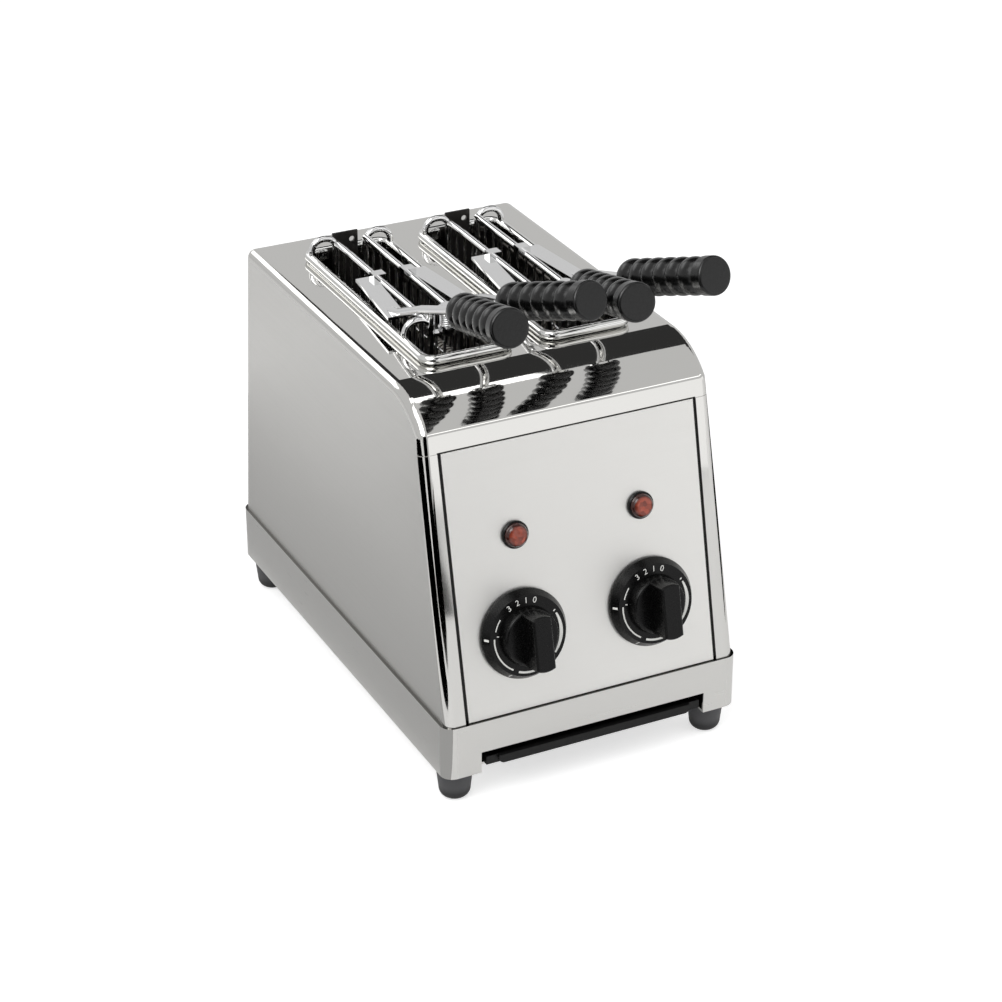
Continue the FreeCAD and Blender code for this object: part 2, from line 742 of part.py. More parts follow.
BULKHEAD_FOOT_HALF = "(body_width / 2 - bulkhead_side_gap)"
BULKHEAD_HEAD_HALF = f"({TOP_HALF} - bulkhead_side_gap)"
BULKHEAD_HEAD = f"({UNDER_SHEET} - bulkhead_head_gap)"
for end, y in (("front", "-bulkhead_front"), ("rear", "bulkhead_rear")):
    bulkhead = doc.addObject("PartDesign::Body", f"bulkhead_{end}")
    padded(bulkhead, f"bulkhead_sheet_{end}", "XZ_Plane", [
        (f"-{BULKHEAD_FOOT_HALF}", "plinth_top"), (BULKHEAD_FOOT_HALF, "plinth_top"),
        (BULKHEAD_HEAD_HALF, f"{BULKHEAD_HEAD} - edge_round"),
        (f"{BULKHEAD_HEAD_HALF} - edge_round / 2", BULKHEAD_HEAD),
        (f"edge_round / 2 - {BULKHEAD_HEAD_HALF}", BULKHEAD_HEAD),
        (f"-{BULKHEAD_HEAD_HALF}", f"{BULKHEAD_HEAD} - edge_round")], "sheet_gauge")
    place(bulkhead, "0", y, "0")

INSIDE_FRONT = "(-bulkhead_front + sheet_gauge / 2)"
INSIDE_REAR = "(bulkhead_rear - sheet_gauge / 2)"
REFLECTOR_X = "(body_width / 2 - reflector_side_gap)"
HEATER_X = f"((slot_offset + guard_offset + {REFLECTOR_X}) / 2)"
for side, sign in SIDES.items():
    reflector = block(f"reflector_{side}", "reflector_gauge", f"{INSIDE_REAR} - {INSIDE_FRONT}",
                      "reflector_head - reflector_foot")
    place(reflector, f"{sign} * {REFLECTOR_X} - reflector_gauge / 2", INSIDE_FRONT, "reflector_foot")

for side, sign in SIDES.items():
    for edge, way in (("outer", sign), ("inner", f"-({sign})")):
        x = f"{sign} * slot_offset + {way} * guard_offset"
        name = f"guard_{side}_{edge}"
        wires = [lengthwise(f"{name}_{rail}", "guard_rail_radius", x, rail, INSIDE_FRONT, INSIDE_REAR)
                 for rail in ("guard_head", "guard_foot")]
        count = int(number("guard_wires"))
        for wire in range(count):
            y = f"{INSIDE_FRONT} + ({INSIDE_REAR} - {INSIDE_FRONT}) * {wire + 1} / {count + 1}"
            wires.append(upright(f"{name}_wire_{wire}", "guard_wire_radius", x, y,
                                 "guard_foot", "guard_head"))
        fuse(name, wires)

for bank, across in (("left", f"-{HEATER_X}"), ("middle", "0"), ("right", HEATER_X)):
    tubes = []
    for tube in range(int(number("heater_count"))):
        level = f"heater_foot + {tube} * heater_pitch"
        tubes.append(lengthwise(f"heater_tube_{bank}_{tube}", "heater_radius", across, level,
                                INSIDE_FRONT, INSIDE_REAR))
    bank_of_tubes = doc.addObject("Part::Compound", f"heater_{bank}")
    bank_of_tubes.Links = tubes


# Slot collars: a rounded rim above the top, a flange under it

for side, sign in SIDES.items():
    centre = f"{sign} * slot_offset"
    outer = "(slot_half + collar_gauge)"
    flange = "(slot_half + collar_gauge + collar_flange)"
    flange_foot = f"({UNDER_SHEET} - sheet_gauge)"
    rim = "(top_level + collar_rise)"
    collar = doc.addObject("PartDesign::Body", f"slot_collar_{side}")
    layer(collar, "Pad", f"collar_flange_{side}",
          rounded_rectangle((f"({centre} - {flange})", "(-slot_front - collar_gauge)"),
                            (f"({centre} + {flange})", "(slot_rear + collar_gauge + collar_flange)"),
                            "slot_round"), flange_foot, UNDER_SHEET)
    layer(collar, "Pad", f"collar_wall_{side}",
          rounded_rectangle((f"({centre} - {outer})", "(-slot_front - collar_gauge)"),
                            (f"({centre} + {outer})", "(slot_rear + collar_gauge)"),
                            "(slot_round + collar_gauge)"), flange_foot, rim)
    mouth = layer(collar, "Pocket", f"collar_mouth_{side}",
                  rounded_rectangle((f"({centre} - slot_half)", "(-slot_front)"),
                                    (f"({centre} + slot_half)", "slot_rear"),
                                    "slot_round"), flange_foot, rim)
    rim_level = number(rim)
    rounding(collar, f"collar_rim_{side}", mouth, "(collar_gauge - collar_crown) / 2",
             lambda edge: abs(middle(edge).z - rim_level) < 0.01)


# Clamps: in each slot two wire jaws hang on one upright pivot pin, like a clothes peg. Squeezing the
# grips in front of the pin spreads the jaws behind it.

RIM = "(top_level + collar_rise)"
MESH_PITCH = "((cage_rear + cage_front) / (mesh_uprights + 1))"
SADDLE_REAR = f"(-cage_front + (saddle_bay + 0.5) * {MESH_PITCH} + saddle_length / 2)"

for side, sign in SIDES.items():
    centre = f"{sign} * slot_offset"
    clamp = f"clamp_{side}"
    pivot_y = "-pivot_setback"

    pin = turned(f"{clamp}_pin", [
        ("0", "pin_foot"),
        ("pin_radius", "pin_foot"),
        ("pin_radius", "pin_head - pin_cap"),
        ("pin_cap_radius", "pin_head - pin_cap"),
        ("pin_cap_radius", "pin_head"),
        ("0", "pin_head"),
    ])
    place(pin, centre, pivot_y, "0")

    # The inner ears of the two jaws hold the spring between them
    jaws = {"a": ("-1", "lower_ear", "upper_ear"),
            "b": ("1", "(lower_ear + ear_gauge + ear_gap)", "(upper_ear - ear_gauge - ear_gap)")}
    coil_foot = "(lower_ear + 2 * (ear_gauge + ear_gap) + coil_wire_radius)"
    coil_head = "(upper_ear - ear_gauge - 2 * ear_gap - coil_wire_radius)"
    coil_path = doc.addObject("Part::Helix", f"{clamp}_coil_path")
    bind(coil_path, Radius="coil_radius", Height=f"{coil_head} - {coil_foot}",
         Pitch=f"({coil_head} - {coil_foot}) / coil_turns")
    place(coil_path, centre, pivot_y, coil_foot)
    coil_section = bind(doc.addObject("Part::Circle", f"{clamp}_coil_section"), Radius="coil_wire_radius")
    place(coil_section, f"{centre} + coil_radius", pivot_y, coil_foot, roll="90")
    spring = doc.addObject("Part::Sweep", f"{clamp}_spring")
    spring.Sections = [coil_section]
    spring.Spine = (coil_path, ["Edge1"])
    spring.Solid = True
    spring.Frenet = True

    for jaw, (way, low_ear, high_ear) in jaws.items():
        name = f"{clamp}_{jaw}"
        lift = f"(grip_lift + {way} * grip_stagger)"
        spread = f"(grip_spread + {way} * grip_splay)"

        def across(text):
            return f"{centre} + {way} * ({text})"

        # Jaw: one bent wire runs from leg to leg round the cage, the top rod is welded across it
        loop = bent_rod(f"{name}_loop", [
            (across("leg_half"), "cage_rear", f"{RIM} + leg_gap"),
            (across("leg_half"), "cage_rear", "arch_level"),
            (across("jaw_half"), "cage_rear", "arch_level"),
            (across("jaw_half"), "cage_rear", "cage_foot"),
            (across("jaw_half"), "-cage_front", "cage_foot"),
            (across("jaw_half"), "-cage_front", "arch_level"),
            (across("leg_half"), "-cage_front", "arch_level"),
            (across("leg_half"), "-cage_front", f"{RIM} + leg_gap"),
        ], "wire_bend", "wire_radius")
        rod = lengthwise(f"{name}_rod", "rod_radius", across("jaw_half"), "rod_level",
                         "-cage_front", "cage_rear")
        post = upright(f"{name}_post", "post_radius", across("jaw_half"), "-cage_front",
                       low_ear, f"{high_ear} + ear_gauge")
        pieces = [loop, rod, post]
        for place_name, foot in (("lower", low_ear), ("upper", high_ear)):
            disc = upright(f"{name}_{place_name}_ear", "ear_radius", centre, pivot_y,
                           foot, f"{foot} + ear_gauge")
            neck = block(f"{name}_{place_name}_neck", "jaw_half", "ear_radius", "ear_gauge")
            neck_x = centre if way == "1" else f"{centre} - jaw_half"
            place(neck, neck_x, f"{pivot_y} - ear_radius / 2", foot)
            pieces += [disc, neck]
        eye = upright(f"{name}_eye", "pin_radius + running_gap", centre, pivot_y,
                      "pin_foot", "pin_head")
        cut(f"{name}_cage", fuse(f"{name}_welded", pieces), [eye])

        # Mesh: thin wires welded into the frame of the cage
        wires = []
        uprights = int(number("mesh_uprights"))
        for wire in range(uprights):
            y = f"-cage_front + {wire + 1} * {MESH_PITCH}"
            wires.append(upright(f"{name}_mesh_upright_{wire}", "mesh_radius", across("jaw_half"), y,
                                 "cage_foot", "rod_level"))
        rails = int(number("mesh_rails"))
        for rail in range(rails):
            z = f"cage_foot + (rod_level - cage_foot) * {rail + 1} / {rails + 1}"
            wires.append(lengthwise(f"{name}_mesh_rail_{rail}", "mesh_radius",
                                    across("jaw_half + 1.5 * mesh_radius"), z, "-cage_front", "cage_rear"))
        cut(f"{name}_mesh", fuse(f"{name}_mesh_wires", wires), [loop, rod])

        # Arm: a saddle clipped on the top rod, a flat strap and a cranked rod up to the grip
        saddle_half = "(rod_radius + saddle_wall)"
        saddle = block(f"{name}_saddle", f"2 * {saddle_half}", "saddle_length", f"2 * {saddle_half}")
        place(saddle, f"{across('jaw_half')} - {saddle_half}", f"{SADDLE_REAR} - saddle_length",
              f"rod_level - {saddle_half}")
        strap = doc.addObject("PartDesign::Body", f"{name}_strap")
        strap_corners = [
            (across("strap_front_inner"), "-strap_front"),
            (across("strap_front_outer"), "-strap_front"),
            (across("strap_rear_outer"), SADDLE_REAR),
            (across("strap_rear_inner"), SADDLE_REAR),
        ]
        padded(strap, f"{name}_strap_sheet", "XY_Plane",
               strap_corners if way == "1" else strap_corners[::-1], "strap_gauge")
        place(strap, "0", "0", "rod_level")
        reach = f"(cos({lift}) * tang_length)"
        crank = bent_rod(f"{name}_crank", [
            (across("arm_foot_across"), "arm_seat - strap_front", "rod_level"),
            (across("arm_foot_across"), "-strap_front", "arm_foot_level"),
            (across("arm_knee_across"), "-arm_knee", "arm_knee_level"),
            (across("grip_start_across"), "-grip_start", "grip_start_level"),
            (across(f"grip_start_across + {reach} * sin({spread})"),
             f"-grip_start - {reach} * cos({spread})",
             f"grip_start_level + sin({lift}) * tang_length"),
        ], "arm_bend", "arm_radius")
        ferrule = cylinder(f"{name}_ferrule", "ferrule_radius", "ferrule_gauge")
        place(ferrule, across("grip_start_across"), "-grip_start", "grip_start_level",
              yaw=f"{way} * {spread}", roll=f"90 - {lift}")
        rod_hole = lengthwise(f"{name}_saddle_hole", "rod_radius", across("jaw_half"), "rod_level",
                              f"{SADDLE_REAR} - 2 * saddle_length", f"{SADDLE_REAR} + saddle_length")
        arm_block = fuse(f"{name}_arm_block", [saddle, strap, crank, ferrule])
        cut(f"{name}_arm", arm_block, [rod_hole])

        # Grip: turned beads, a neck and a flat cap
        rim_foot = "ferrule_gauge"
        beads = [("0", rim_foot)]
        bulges = {}
        for bead in range(int(number("bead_count"))):
            bulges[len(beads)] = "bead_arc_radius"
            beads.append(("bead_groove_radius", f"{rim_foot} + {bead} * bead_pitch"))
        end = f"{rim_foot} + bead_count * bead_pitch"
        beads += [
            ("bead_groove_radius", end),
            ("grip_neck_radius", f"{end} + grip_neck / 2"),
            ("bead_radius", f"{end} + grip_neck"),
            ("bead_radius", f"{end} + grip_neck + grip_cap - grip_cap_round"),
            ("bead_radius - grip_cap_round", f"{end} + grip_neck + grip_cap"),
            ("0", f"{end} + grip_neck + grip_cap"),
        ]
        bulges[len(beads) - 3] = "grip_cap_round"
        handle = turned(f"{name}_handle", beads, bulges)
        place(handle, across("grip_start_across"), "-grip_start", "grip_start_level",
              yaw=f"{way} * {spread}", roll=f"90 - {lift}")
        socket = cylinder(f"{name}_tang_bore", "arm_radius", "tang_length")
        place(socket, across("grip_start_across"), "-grip_start", "grip_start_level",
              yaw=f"{way} * {spread}", roll=f"90 - {lift}")
        cut(f"{name}_grip", handle, [socket])

    # Keeper: an upright plate on the rear end of jaw a that closes the cage behind the bread
    keeper = block(f"{clamp}_keeper_plate", "keeper_outer + keeper_inner", "keeper_gauge",
                   "keeper_head - keeper_foot")
    place(keeper, f"{centre} - keeper_outer", "cage_rear + wire_radius", "keeper_foot")
    keeper_hole = lengthwise(f"{clamp}_keeper_hole", "keeper_hole_radius", f"{centre} + keeper_hole_across",
                             "rod_level", "cage_rear", "cage_rear + 4 * keeper_gauge")
    cut(f"{clamp}_keeper", keeper, [keeper_hole])


# Check every feature, then write each piece to its own file

doc.recompute()

NODES = ["outer_shell", "front_backing", "front_panel", "rear_panel", "cable_gland", "plinth", "crumb_tray",
         "bulkhead_front", "bulkhead_rear", "heater_left", "heater_middle", "heater_right"]
for side in SIDES:
    NODES += [f"foot_front_{side}", f"foot_rear_{side}", f"reflector_{side}", f"slot_collar_{side}",
              f"guard_{side}_outer", f"guard_{side}_inner", f"timer_{side}", f"timer_shaft_{side}",
              f"knob_{side}", f"lamp_bezel_{side}", f"lamp_lens_{side}",
              f"clamp_{side}_pin", f"clamp_{side}_spring", f"clamp_{side}_keeper"]
    for jaw in ("a", "b"):
        NODES += [f"clamp_{side}_{jaw}_{piece}" for piece in ("cage", "mesh", "arm", "grip")]

faults = [f"{thing.Label}: {thing.State}" for thing in doc.Objects
          if "Invalid" in thing.State or "Error" in thing.State]
for node in NODES:
    shape = doc.getObject(node).Shape
    if shape.isNull() or not shape.isValid() or not shape.Solids:
        faults.append(f"{node}: no valid solid")
if faults:
    raise RuntimeError("; ".join(faults))

os.makedirs("parts", exist_ok=True)
for node in NODES:
    shape = doc.getObject(node).Shape
    shape.exportStep(f"parts/{node}.step")
    print(node, len(shape.Solids), "solid", round(shape.Volume), "mm3")
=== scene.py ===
import bpy
import bmesh
import json
import math
from mathutils import Matrix, Vector


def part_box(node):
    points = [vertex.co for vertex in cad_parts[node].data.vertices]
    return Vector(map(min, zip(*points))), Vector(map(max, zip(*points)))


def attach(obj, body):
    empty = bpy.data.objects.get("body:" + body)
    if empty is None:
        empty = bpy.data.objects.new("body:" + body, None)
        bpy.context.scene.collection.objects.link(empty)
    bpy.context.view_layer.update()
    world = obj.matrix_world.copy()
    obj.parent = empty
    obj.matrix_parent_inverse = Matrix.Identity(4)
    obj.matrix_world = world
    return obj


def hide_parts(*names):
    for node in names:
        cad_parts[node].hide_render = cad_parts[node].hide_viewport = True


# A two-slot clamp toaster of stainless sheet: the finishes of its pieces, the print, collars and screws
# that are modelled here, and the studio round it. Sizes are millimetres, the studio's are metres.

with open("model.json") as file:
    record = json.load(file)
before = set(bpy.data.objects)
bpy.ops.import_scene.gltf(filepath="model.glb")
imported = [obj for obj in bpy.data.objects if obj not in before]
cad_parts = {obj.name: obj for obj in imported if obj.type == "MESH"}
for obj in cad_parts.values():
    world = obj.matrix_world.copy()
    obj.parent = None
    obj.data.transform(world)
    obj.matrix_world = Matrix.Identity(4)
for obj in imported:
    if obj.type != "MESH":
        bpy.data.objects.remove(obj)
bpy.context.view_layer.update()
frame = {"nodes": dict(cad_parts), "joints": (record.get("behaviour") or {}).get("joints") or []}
nodes = frame["nodes"]
mm = 0.001
print("frame loaded,", len(nodes), "nodes")


# materials

def linear(code):
    # sRGB hex to linear RGBA
    parts = [int(code[i:i + 2], 16) / 255 for i in (1, 3, 5)]
    return tuple(c / 12.92 if c < 0.04045 else ((c + 0.055) / 1.055) ** 2.4 for c in parts) + (1,)


def addNode(tree, kind, settings=None, links=None, **props):
    # one node: props are its own settings, settings fill sockets, links join outputs into sockets
    node = tree.nodes.new(kind)
    for name, value in props.items():
        setattr(node, name, value)
    for name, value in (settings or {}).items():
        node.inputs[name].default_value = value
    for name, source in (links or {}).items():
        tree.links.new(source, node.inputs[name])
    return node


colorMix = {"from": 6, "to": 7, "result": 2}  # a Mix node's colour sockets, whose names aren't unique
noiseSpan = {"From Min": 0.3, "From Max": 0.7}  # where the values of a Noise node mostly lie
evenSpread = (0.8, 1.2)  # an even finish's lowest and highest roughness, as a share of its own
gritDepth = 0.1  # of the bump that draws an even finish's grit


def newMaterial(name):
    made = bpy.data.materials.new(name)
    made.use_nodes = True
    tree = made.node_tree
    return made, tree, tree.nodes["Principled BSDF"], addNode(tree, "ShaderNodeTexCoord")


def brushedGrain(tree, coords, look):
    # the scratches of the last grinding belt: long across the sheet, narrow up it
    along, across = 1 / (look["grainLength"] * mm), 1 / (look["grainWidth"] * mm)
    stretch = addNode(tree, "ShaderNodeMapping", {"Scale": (along, along, across)},
                      {"Vector": coords.outputs["Object"]})
    return addNode(tree, "ShaderNodeTexNoise", {"Scale": 1, "Detail": 4, "Roughness": 0.6},
                   {"Vector": stretch.outputs["Vector"]})


def polishedSheet(name, look):
    # folded stainless sheet: mirror on its bends and top, satin on the flats that face straight aside,
    # and with satinEnds on those that face straight to the front and back
    made, tree, shader, coords = newMaterial(name)
    facing = addNode(tree, "ShaderNodeSeparateXYZ", links={"Vector": coords.outputs["Normal"]})
    square = addNode(tree, "ShaderNodeMath", links={0: facing.outputs["X"]}, operation="ABSOLUTE")
    if look["satinEnds"]:
        ends = addNode(tree, "ShaderNodeMath", links={0: facing.outputs["Y"]}, operation="ABSOLUTE")
        square = addNode(tree, "ShaderNodeMath", links={0: square.outputs[0], 1: ends.outputs[0]},
                         operation="MAXIMUM")
    flat = addNode(tree, "ShaderNodeMapRange",
                   {"From Min": look["satinFrom"], "From Max": look["satinFull"]},
                   {"Value": square.outputs[0]})
    grain = brushedGrain(tree, coords, look)
    satin = addNode(tree, "ShaderNodeMapRange",
                    {**noiseSpan, "To Min": look["satinRoughness"] - look["satinSpread"],
                     "To Max": look["satinRoughness"] + look["satinSpread"]},
                    {"Value": grain.outputs["Fac"]})
    rough = addNode(tree, "ShaderNodeMix", {"A": look["mirrorRoughness"]},
                    {"Factor": flat.outputs["Result"], "B": satin.outputs["Result"]})
    wave = addNode(tree, "ShaderNodeTexNoise", {"Scale": 1 / (look["waveLength"] * mm), "Detail": 1},
                   {"Vector": coords.outputs["Object"]})
    waveBump = addNode(tree, "ShaderNodeBump", {"Strength": 1, "Distance": look["waveDepth"] * mm},
                       {"Height": wave.outputs["Fac"]})
    strength = addNode(tree, "ShaderNodeMath", {1: look["grainStrength"]}, {0: flat.outputs["Result"]},
                       operation="MULTIPLY")
    grainBump = addNode(tree, "ShaderNodeBump", {"Distance": look["grainDepth"] * mm},
                        {"Height": grain.outputs["Fac"], "Strength": strength.outputs[0],
                         "Normal": waveBump.outputs["Normal"]})
    # painted shade: faces that look up are darkened towards the ledge colour, for the shade that falls on a
    # ledge under a wall
    if "ledgeShadeColor" in look:
        upwardShade = addNode(tree, "ShaderNodeMapRange",
                         {"From Min": look["ledgeShadeFrom"], "From Max": look["ledgeShadeFull"]},
                         {"Value": facing.outputs["Z"]})
        hue = addNode(tree, "ShaderNodeMix", {colorMix["from"]: linear(look["color"]),
                                              colorMix["to"]: linear(look["ledgeShadeColor"])},
                      {"Factor": upwardShade.outputs["Result"]}, data_type="RGBA")
        tree.links.new(hue.outputs[colorMix["result"]], shader.inputs["Base Color"])
    else:
        shader.inputs["Base Color"].default_value = linear(look["color"])
    shader.inputs["Metallic"].default_value = 1
    tree.links.new(rough.outputs["Result"], shader.inputs["Roughness"])
    tree.links.new(grainBump.outputs["Normal"], shader.inputs["Normal"])
    return made


def brushedSheet(name, look):
    # stainless sheet ground all over, so that what it mirrors is only a soft light or dark
    made, tree, shader, coords = newMaterial(name)
    grain = brushedGrain(tree, coords, look)
    rough = addNode(tree, "ShaderNodeMapRange",
                    {**noiseSpan, "To Min": look["roughness"] - look["satinSpread"],
                     "To Max": look["roughness"] + look["satinSpread"]},
                    {"Value": grain.outputs["Fac"]})
    bump = addNode(tree, "ShaderNodeBump",
                   {"Strength": look["grainStrength"], "Distance": look["grainDepth"] * mm},
                   {"Height": grain.outputs["Fac"]})
    shader.inputs["Base Color"].default_value = linear(look["color"])
    shader.inputs["Metallic"].default_value = 1
    tree.links.new(rough.outputs["Result"], shader.inputs["Roughness"])
    tree.links.new(bump.outputs["Normal"], shader.inputs["Normal"])
    return made


def evenFinish(name, look):
    # moulded, painted or plated surface: a faint grit, drawn some ten times coarser than it is so that it
    # shows, keeps the highlight from being perfect
    made, tree, shader, coords = newMaterial(name)
    grain = addNode(tree, "ShaderNodeTexNoise", {"Scale": 1 / (look.get("grit", 0.6) * mm), "Detail": 3},
                    {"Vector": coords.outputs["Object"]})
    rough = addNode(tree, "ShaderNodeMapRange",
                    {**noiseSpan, "To Min": look["roughness"] * evenSpread[0],
                     "To Max": look["roughness"] * evenSpread[1]},
                    {"Value": grain.outputs["Fac"]})
    bump = addNode(tree, "ShaderNodeBump", {"Strength": look.get("bump", 0.05), "Distance": gritDepth * mm},
                   {"Height": grain.outputs["Fac"]})
    shader.inputs["Base Color"].default_value = linear(look["color"])
    shader.inputs["Metallic"].default_value = look.get("metallic", 0)
    shader.inputs["Specular IOR Level"].default_value = look.get("shine", 0.5)
    tree.links.new(rough.outputs["Result"], shader.inputs["Roughness"])
    tree.links.new(bump.outputs["Normal"], shader.inputs["Normal"])
    return made


def mouldedLens(name, look):
    # facets moulded inside the lens bump its surface; its colour is painted light and shade: pale spots on
    # the face where light would break through the facets, a deeper red on its flanks
    made, tree, shader, coords = newMaterial(name)
    facets = addNode(tree, "ShaderNodeTexVoronoi", {"Scale": 1 / (look["facet"] * mm)},
                     {"Vector": coords.outputs["Object"]})
    faced = addNode(tree, "ShaderNodeVectorMath", {1: look["outward"]}, {0: coords.outputs["Normal"]},
                    operation="DOT_PRODUCT")
    # painted light and shade: the colour runs from deep to pale as the lens turns to face straight out, and
    # is speckled by the facets
    litCore = addNode(tree, "ShaderNodeMapRange", {"From Min": look["litCoreFrom"], "From Max": look["litCoreFull"]},
                   {"Value": faced.outputs["Value"]})
    paintedSparkle = addNode(tree, "ShaderNodeMapRange", {"To Min": look["paintedSparkleLow"], "To Max": 1},
                      {"Value": facets.outputs["Color"]})
    amount = addNode(tree, "ShaderNodeMath", links={0: litCore.outputs["Result"], 1: paintedSparkle.outputs["Result"]},
                     operation="MULTIPLY")
    hue = addNode(tree, "ShaderNodeMix", {colorMix["from"]: linear(look["deep"]),
                                          colorMix["to"]: linear(look["pale"])},
                  {"Factor": amount.outputs[0]}, data_type="RGBA")
    bump = addNode(tree, "ShaderNodeBump",
                   {"Strength": look["facetStrength"], "Distance": look["facetDepth"] * mm},
                   {"Height": facets.outputs["Distance"]})
    tree.links.new(hue.outputs[colorMix["result"]], shader.inputs["Base Color"])
    tree.links.new(bump.outputs["Normal"], shader.inputs["Normal"])
    shader.inputs["Roughness"].default_value = look["roughness"]
    shader.inputs["Coat Weight"].default_value = look["coat"]
    return made


def twoTone(name, look):
    # one surface of two colours: by its height above the floor, or in turns of a coil along Y
    made, tree, shader, coords = newMaterial(name)
    if "pitch" in look:
        # a Wave node at scale 1 has a band every pi / 10 units
        bands = addNode(tree, "ShaderNodeTexWave", {"Scale": math.pi / 10 / (look["pitch"] * mm)},
                        {"Vector": coords.outputs["Object"]}, bands_direction="Y")
        share, low, high = bands.outputs["Fac"], look["low"], look["high"]
    else:
        # by height: on the feet the lower, darker colour is painted shade near the floor
        axes = addNode(tree, "ShaderNodeSeparateXYZ", links={"Vector": coords.outputs["Object"]})
        share, low, high = axes.outputs["Z"], look["low"] * mm, look["high"] * mm
    amount = addNode(tree, "ShaderNodeMapRange", {"From Min": low, "From Max": high}, {"Value": share},
                     interpolation_type="SMOOTHSTEP")
    hue = addNode(tree, "ShaderNodeMix", {colorMix["from"]: linear(look["from"]),
                                          colorMix["to"]: linear(look["to"])},
                  {"Factor": amount.outputs["Result"]}, data_type="RGBA")
    grain = addNode(tree, "ShaderNodeTexNoise", {"Scale": 1 / (look["grit"] * mm), "Detail": 3},
                    {"Vector": coords.outputs["Object"]})
    bump = addNode(tree, "ShaderNodeBump", {"Strength": look["bump"], "Distance": gritDepth * mm},
                   {"Height": grain.outputs["Fac"]})
    tree.links.new(hue.outputs[colorMix["result"]], shader.inputs["Base Color"])
    tree.links.new(bump.outputs["Normal"], shader.inputs["Normal"])
    shader.inputs["Roughness"].default_value = look["roughness"]
    return made


# stainless steel, cold rolled and mirror polished, its sides ground satin: the top and the bends mirror
# the room, the sides are an even soft grey; the real scratches are about 0.1 mm wide, drawn wider to show
shellLook = {"color": "#DEDDDA", "satinEnds": False, "satinFrom": 0.9965, "satinFull": 0.9995,
             "satinRoughness": 0.36, "satinSpread": 0.05, "mirrorRoughness": 0.05,
             "grainLength": 71, "grainWidth": 0.9,
             "grainStrength": 0.09, "grainDepth": 0.2, "waveLength": 60, "waveDepth": 0.25}
shellSteel = polishedSheet("mirrorPolishedStainless", shellLook)
# the same sheet ground satin on its ends too; the faces of the narrow ledge round the body that look up
# are painted dark grey, a painted shade for the shade the body casts on it, so it reads as a dark seam
plinthSteelShadedLedge = polishedSheet("satinGroundStainlessShadedLedge", dict(
    shellLook, satinEnds=True, satinRoughness=0.32, ledgeShadeColor="#4E4D4B", ledgeShadeFrom=0.1, ledgeShadeFull=0.75))
# stainless steel, brushed: the back and its screws are a flat mid grey
ventSteel = brushedSheet("brushedStainless", dict(shellLook, color="#D6D6D4", roughness=0.36))
# stainless steel, finely brushed: the dress panel is the palest part and mirrors almost nothing
panelSteel = brushedSheet("fineBrushedStainless", dict(shellLook, color="#EEEDEA", roughness=0.42))
# stainless steel, rolled and polished: thin bright and dark lines round each slot
collarSteel = evenFinish("rolledStainless", {"color": "#E8E8E6", "roughness": 0.06, "metallic": 1,
                                             "grit": 2, "bump": 0.01})
# mild steel that years beside the heaters have browned: dull and nearly black in the slots
darkSteel = evenFinish("heatDarkenedSteel", {"color": "#4A4846", "roughness": 0.45, "metallic": 1})
# steel sheet, stove painted black: a quiet dark with a broad weak highlight; it is the crumb tray's own
# black, and on the sheet behind the dress panel it is painted shade that fills the gaps round the panel
blackPaintAndGapShade = evenFinish("blackPaintedSteelAndGapShade", {"color": "#0E0E0E", "roughness": 0.4, "shine": 0.3})
# drawn steel wire, bright chrome plated: hard highlights along each wire
platedWire = evenFinish("chromePlatedWire", {"color": "#EEEEEE", "roughness": 0.07, "metallic": 1,
                                             "grit": 1, "bump": 0.02})
# drawn steel wire without plating, dulled by heat: warm grey lines in the dark
dullWire = evenFinish("heatDulledWire", {"color": "#77746F", "roughness": 0.35, "metallic": 1})
# steel sheet dipped in aluminium: a soft pale mirror behind the heaters
dippedSheet = evenFinish("aluminisedSheet", {"color": "#B8B8B8", "roughness": 0.3, "metallic": 1})
# phenolic resin, compression moulded: deep black with small clear highlights on its edges
knobResin = evenFinish("mouldedPhenolic", {"color": "#050505", "roughness": 0.28, "grit": 0.8, "bump": 0.03,
                                           "shine": 0.25})
# nylon, injection moulded and handled a lot: black with a mottled grey sheen on the crown of each bead
gripNylon = evenFinish("handledNylon", {"color": "#060606", "roughness": 0.23, "grit": 1.8, "bump": 0.4,
                                        "shine": 0.5})
# nylon, injection moulded: a matt dark grey
glandNylon = evenFinish("mouldedNylon", {"color": "#161616", "roughness": 0.45})
# epoxy ink, pad printed: a slightly grey, matt white
printInk = evenFinish("padPrintedInk", {"color": "#E6E6E2", "roughness": 0.5, "grit": 0.4})
# polycarbonate, injection moulded red: a glossy dark rim round a speckled brick red face; the speckles and
# the pale face are painted light, the dark rim painted shade
lampLens = mouldedLens("mouldedPolycarbonateLitCore", {
    "facet": 3, "facetDepth": 0.6, "facetStrength": 0.5, "paintedSparkleLow": 0.25, "deep": "#34100A",
    "pale": "#AE4E38", "litCoreFrom": 0.72, "litCoreFull": 0.995, "roughness": 0.18, "coat": 0.3,
    "outward": (0, -0.976, 0.216)})  # square to the leaning front
# rubber, compression moulded: dark grey on its side, painted near black at the toe as the shade under the
# foot
footRubberShadedToe = twoTone("mouldedRubberShadedToe", {"from": "#121213", "to": "#4A4A4C", "low": 3, "high": 12,
                                       "grit": 0.5, "bump": 0.12, "roughness": 0.5})
# quartz tube, drawn and milky, with the dark turns of its wire coil showing through
heaterQuartz = twoTone("milkyQuartz", {"from": "#E8E4DC", "to": "#5A524A", "low": 0.55, "high": 0.75,
                                       "pitch": 4, "grit": 2, "bump": 0.02, "roughness": 0.15})

